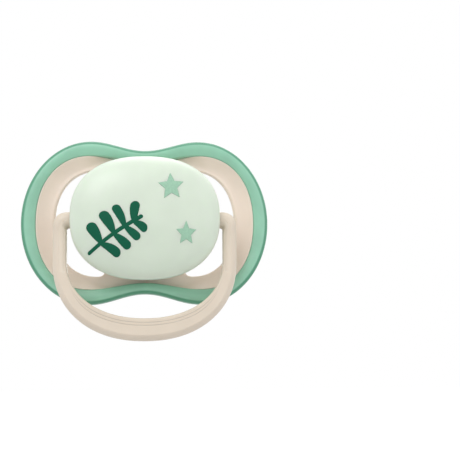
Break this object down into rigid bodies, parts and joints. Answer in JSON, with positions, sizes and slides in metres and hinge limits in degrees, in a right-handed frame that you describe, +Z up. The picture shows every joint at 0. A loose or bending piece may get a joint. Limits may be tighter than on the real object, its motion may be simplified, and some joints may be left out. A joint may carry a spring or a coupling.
{
  "type": "pacifier",
  "caption": "Baby pacifier with a dished butterfly shield and soft rim, side vents, hollow printed knob, swinging D-shaped handle and a soft bulb nipple.",
  "frame": {"origin": "on the nipple's axis, where it leaves the back face of the shield", "axes": "+Z up as worn, with the handle hanging to -Z; +X to the right seen from the front, along the handle's pins; +Y along the nipple, into the mouth"},
  "size_m": [0.06, 0.0478, 0.0488],
  "materials": {
    "plate": "satin moulded beige",
    "rim": "soft translucent green, semi-gloss",
    "silicone": "frosted bulb, clear neck",
    "plug": "satin natural",
    "knob": "satin, milky mint, glow-in-the-dark kind",
    "handle": "satin moulded beige",
    "dark_ink": "printed dark green",
    "pale_ink": "printed mint green"
  },
  "bodies": {
    "shield": {"shield_plate": "plate", "shield_rim": "rim", "nipple": "silicone", "nipple_plug": "plug", "knob": "knob", "leaf_print": "dark_ink", "large_star_print": "pale_ink", "small_star_print": "pale_ink"},
    "handle": {"handle": "handle"}
  },
  "joints": [
    {"name": "handle_swing", "type": "hinge", "parent": "shield", "child": "handle", "pos_m": [0, -0.0078, 0], "axis": [-1, 0, 0], "range_deg": [-7, 187]}
  ]
}
